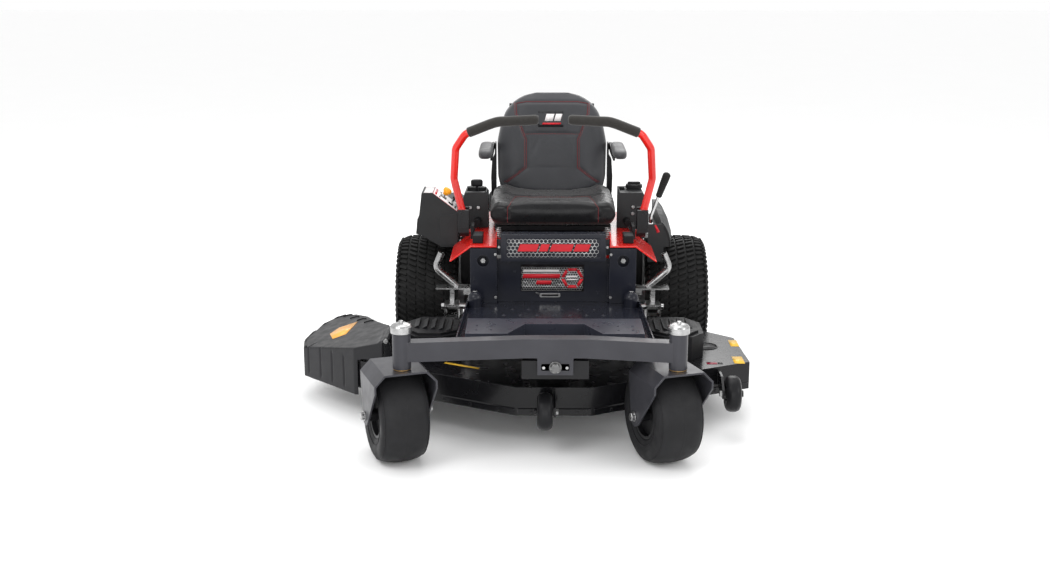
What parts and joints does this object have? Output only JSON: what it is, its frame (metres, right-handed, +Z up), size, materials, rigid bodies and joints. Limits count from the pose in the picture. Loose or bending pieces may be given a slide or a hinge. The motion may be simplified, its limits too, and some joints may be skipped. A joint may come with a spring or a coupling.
{
  "type": "riding lawn mower",
  "caption": "Zero-turn riding lawn mower: rear drive wheels, front casters, fabricated deck with side chute, lap bars and high-back seat.",
  "frame": {"origin": "on the ground, at the middle of the footprint", "axes": "+Y rearwards (the operator faces -Y), +X to the operator's left, +Z up"},
  "size_m": [1.665, 1.8758, 1.094],
  "materials": {
    "frame_black": "satin powder coat",
    "panel_navy": "gloss powder coat",
    "step_grey": "satin powder coat",
    "beam_grey": "metallic charcoal powder coat",
    "red_paint": "gloss",
    "deck_black": "gloss",
    "fender_plastic": "grained",
    "black_plastic": "matte",
    "tyre_rubber": "matte",
    "rim_black": "satin",
    "zinc": "zinc plated",
    "chrome_rod": "polished",
    "bare_steel": "machined",
    "cast_metal": "as cast",
    "bushing_bronze": "sintered",
    "muffler_metal": "heat tinted",
    "seat_vinyl": "grained vinyl, two greys and black",
    "armrest_urethane": "moulded foam skin",
    "grip_rubber": "foam sleeve",
    "belt_rubber": "matte",
    "deck_wheel_plastic": "satin",
    "knob_yellow": "satin"
  },
  "bodies": {
    "chassis": {"main_frame": "frame_black", "foot_pan": "panel_navy", "step_plate": "step_grey", "front_panel": "panel_navy", "badge_panel": "panel_navy", "upper_frame": "red_paint", "fender_right": "fender_plastic", "fender_left": "fender_plastic", "fender_supports": "zinc", "transaxles": "cast_metal", "engine_block": "cast_metal", "engine_shroud": "black_plastic", "muffler": "muffler_metal", "engine_guard": "frame_black", "battery": "black_plastic", "chassis_bolts": "zinc"},
    "axle_beam": {"front_axle_beam": "beam_grey", "caster_bushings": "bushing_bronze", "caster_caps": "zinc"},
    "deck": {"deck_shell": "deck_black", "belt_covers": "black_plastic", "spindle_housings": "cast_metal", "deck_belt": "belt_rubber", "chute_hinge_rod": "zinc"},
    "chute": {"discharge_chute": "black_plastic"},
    "lift_shaft": {"lift_shaft": "zinc"},
    "lift_lever": {"lift_lever": "chrome_rod", "lift_lever_grip": "grip_rubber"},
    "seat_base": {"seat_plate": "frame_black"},
    "seat": {"seat_shell": "black_plastic", "seat_cushion": "seat_vinyl", "seat_backrest": "seat_vinyl"},
    "engine_crank": {"engine_pulley": "bare_steel"},
    "pto_knob": {"pto_knob": "knob_yellow"},
    "throttle": {"throttle_lever": "black_plastic"},
    "fuel_cap": {"fuel_cap": "black_plastic"},
    "caster_left": {"caster_fork_left": "beam_grey"},
    "caster_wheel_left": {"caster_tyre_left": "tyre_rubber", "caster_rim_left": "rim_black"},
    "rear_wheel_left": {"rear_tyre_left": "tyre_rubber", "rear_rim_left": "rim_black"},
    "lap_bracket_left": {"lap_bar_bracket_left": "frame_black"},
    "lap_bar_left": {"lap_bar_left": "red_paint", "lap_bar_grip_left": "grip_rubber"},
    "armrest_left": {"armrest_left": "armrest_urethane"},
    "caster_right": {"caster_fork_right": "beam_grey"},
    "caster_wheel_right": {"caster_tyre_right": "tyre_rubber", "caster_rim_right": "rim_black"},
    "rear_wheel_right": {"rear_tyre_right": "tyre_rubber", "rear_rim_right": "rim_black"},
    "lap_bracket_right": {"lap_bar_bracket_right": "frame_black"},
    "lap_bar_right": {"lap_bar_right": "red_paint", "lap_bar_grip_right": "grip_rubber"},
    "armrest_right": {"armrest_right": "armrest_urethane"},
    "blade_left": {"blade_spindle_left": "bare_steel"},
    "deck_wheel_left": {"deck_wheel_left": "deck_wheel_plastic"},
    "blade_centre": {"blade_spindle_centre": "bare_steel"},
    "deck_wheel_centre": {"deck_wheel_centre": "deck_wheel_plastic"},
    "blade_right": {"blade_spindle_right": "bare_steel"},
    "deck_wheel_right": {"deck_wheel_right": "deck_wheel_plastic"}
  },
  "joints": [
    {"name": "axle_rock", "type": "hinge", "parent": "chassis", "child": "axle_beam", "pos_m": [0.1225, -0.80505, 0.345], "axis": [0, 1, 0], "range_deg": [-3, 3]},
    {"name": "caster_swivel_left", "type": "hinge", "parent": "axle_beam", "child": "caster_left", "pos_m": [0.5185, -0.85505, 0.4], "axis": [0, 0, 1], "continuous": true},
    {"name": "caster_wheel_spin_left", "type": "hinge", "parent": "caster_left", "child": "caster_wheel_left", "pos_m": [0.4843, -0.76108, 0.165], "axis": [0.9397, 0.342, 0], "continuous": true},
    {"name": "caster_swivel_right", "type": "hinge", "parent": "axle_beam", "child": "caster_right", "pos_m": [-0.3745, -0.85505, 0.4], "axis": [0, 0, 1], "continuous": true},
    {"name": "caster_wheel_spin_right", "type": "hinge", "parent": "caster_right", "child": "caster_wheel_right", "pos_m": [-0.4087, -0.76108, 0.165], "axis": [0.9397, 0.342, 0], "continuous": true},
    {"name": "rear_wheel_spin_left", "type": "hinge", "parent": "chassis", "child": "rear_wheel_left", "pos_m": [0.6275, 0.45395, 0.254], "axis": [1, 0, 0], "continuous": true},
    {"name": "rear_wheel_spin_right", "type": "hinge", "parent": "chassis", "child": "rear_wheel_right", "pos_m": [-0.3825, 0.45395, 0.254], "axis": [1, 0, 0], "continuous": true},
    {"name": "deck_lift", "type": "slide", "parent": "chassis", "child": "deck", "axis": [0, 0, 1], "range_m": [-0.065, 0], "deforming": ["deck_belt"]},
    {"name": "blade_spin_centre", "type": "hinge", "parent": "deck", "child": "blade_centre", "pos_m": [0.1225, -0.39705, 0.2], "axis": [0, 0, 1], "continuous": true},
    {"name": "blade_spin_left", "type": "hinge", "parent": "deck", "child": "blade_left", "pos_m": [0.5735, -0.20705, 0.2], "axis": [0, 0, 1], "continuous": true},
    {"name": "blade_spin_right", "type": "hinge", "parent": "deck", "child": "blade_right", "pos_m": [-0.3285, -0.20705, 0.2], "axis": [0, 0, 1], "continuous": true},
    {"name": "crank_spin", "type": "hinge", "parent": "chassis", "child": "engine_crank", "pos_m": [0.1225, 0.75395, 0.3], "axis": [0, 0, 1], "continuous": true},
    {"name": "deck_wheel_spin_centre", "type": "hinge", "parent": "deck", "child": "deck_wheel_centre", "pos_m": [0.0895, -0.72305, 0.1555], "axis": [1, 0, 0], "continuous": true},
    {"name": "deck_wheel_spin_left", "type": "hinge", "parent": "deck", "child": "deck_wheel_left", "pos_m": [0.7475, -0.53105, 0.1555], "axis": [1, 0, 0], "continuous": true},
    {"name": "deck_wheel_spin_right", "type": "hinge", "parent": "deck", "child": "deck_wheel_right", "pos_m": [-0.4375, -0.50805, 0.1555], "axis": [1, 0, 0], "continuous": true},
    {"name": "chute_hinge", "type": "hinge", "parent": "deck", "child": "chute", "pos_m": [-0.4775, -0.31105, 0.304], "axis": [0, 1, 0], "range_deg": [0, 75]},
    {"name": "lift_shaft_turn", "type": "hinge", "parent": "chassis", "child": "lift_shaft", "pos_m": [0.1225, 0.01395, 0.325], "axis": [1, 0, 0], "range_deg": [0, 31.5]},
    {"name": "lift_lever_swing", "type": "hinge", "parent": "chassis", "child": "lift_lever", "pos_m": [0.5105, 0.20395, 0.6], "axis": [1, 0, 0], "range_deg": [0, 35.5]},
    {"name": "lap_bar_drive_left", "type": "hinge", "parent": "chassis", "child": "lap_bracket_left", "pos_m": [0.4575, 0.01395, 0.62], "axis": [1, 0, 0], "range_deg": [-18, 20]},
    {"name": "lap_bar_swing_left", "type": "hinge", "parent": "lap_bracket_left", "child": "lap_bar_left", "pos_m": [0.4675, 0.01395, 0.694], "axis": [0, 1, 0], "range_deg": [0, 35]},
    {"name": "lap_bar_drive_right", "type": "hinge", "parent": "chassis", "child": "lap_bracket_right", "pos_m": [-0.2125, 0.01395, 0.62], "axis": [1, 0, 0], "range_deg": [-18, 20]},
    {"name": "lap_bar_swing_right", "type": "hinge", "parent": "lap_bracket_right", "child": "lap_bar_right", "pos_m": [-0.2225, 0.01395, 0.694], "axis": [0, -1, 0], "range_deg": [0, 35]},
    {"name": "seat_tilt", "type": "hinge", "parent": "chassis", "child": "seat_base", "pos_m": [0.1225, 0.02395, 0.603], "axis": [1, 0, 0], "range_deg": [0, 24]},
    {"name": "seat_slide", "type": "slide", "parent": "seat_base", "child": "seat", "axis": [0, -1, 0], "range_m": [-0.05, 0.05]},
    {"name": "armrest_lift_left", "type": "hinge", "parent": "seat", "child": "armrest_left", "pos_m": [0.3625, 0.46895, 0.88], "axis": [-1, 0, 0], "range_deg": [0, 85]},
    {"name": "armrest_lift_right", "type": "hinge", "parent": "seat", "child": "armrest_right", "pos_m": [-0.1175, 0.46895, 0.88], "axis": [-1, 0, 0], "range_deg": [0, 85]},
    {"name": "pto_pull", "type": "slide", "parent": "chassis", "child": "pto_knob", "axis": [0.6128, 0, 0.7902], "range_m": [0, 0.012]},
    {"name": "throttle_swing", "type": "hinge", "parent": "chassis", "child": "throttle", "pos_m": [-0.1775, 0.27395, 0.708], "axis": [1, 0, 0], "range_deg": [-20, 20]},
    {"name": "fuel_cap_turn", "type": "hinge", "parent": "chassis", "child": "fuel_cap", "pos_m": [0.4465, 0.27395, 0.752], "axis": [0, 0, 1], "range_deg": [0, 90]}
  ],
  "couplings": [
    {"joint": "lift_shaft_turn", "follows": "deck_lift", "rad_per_m": -8.32},
    {"joint": "lift_lever_swing", "follows": "deck_lift", "rad_per_m": -9.4},
    {"joint": "blade_spin_left", "follows": "blade_spin_centre", "ratio": 1},
    {"joint": "blade_spin_right", "follows": "blade_spin_centre", "ratio": 1},
    {"joint": "crank_spin", "follows": "blade_spin_centre", "ratio": 1.1333}
  ]
}
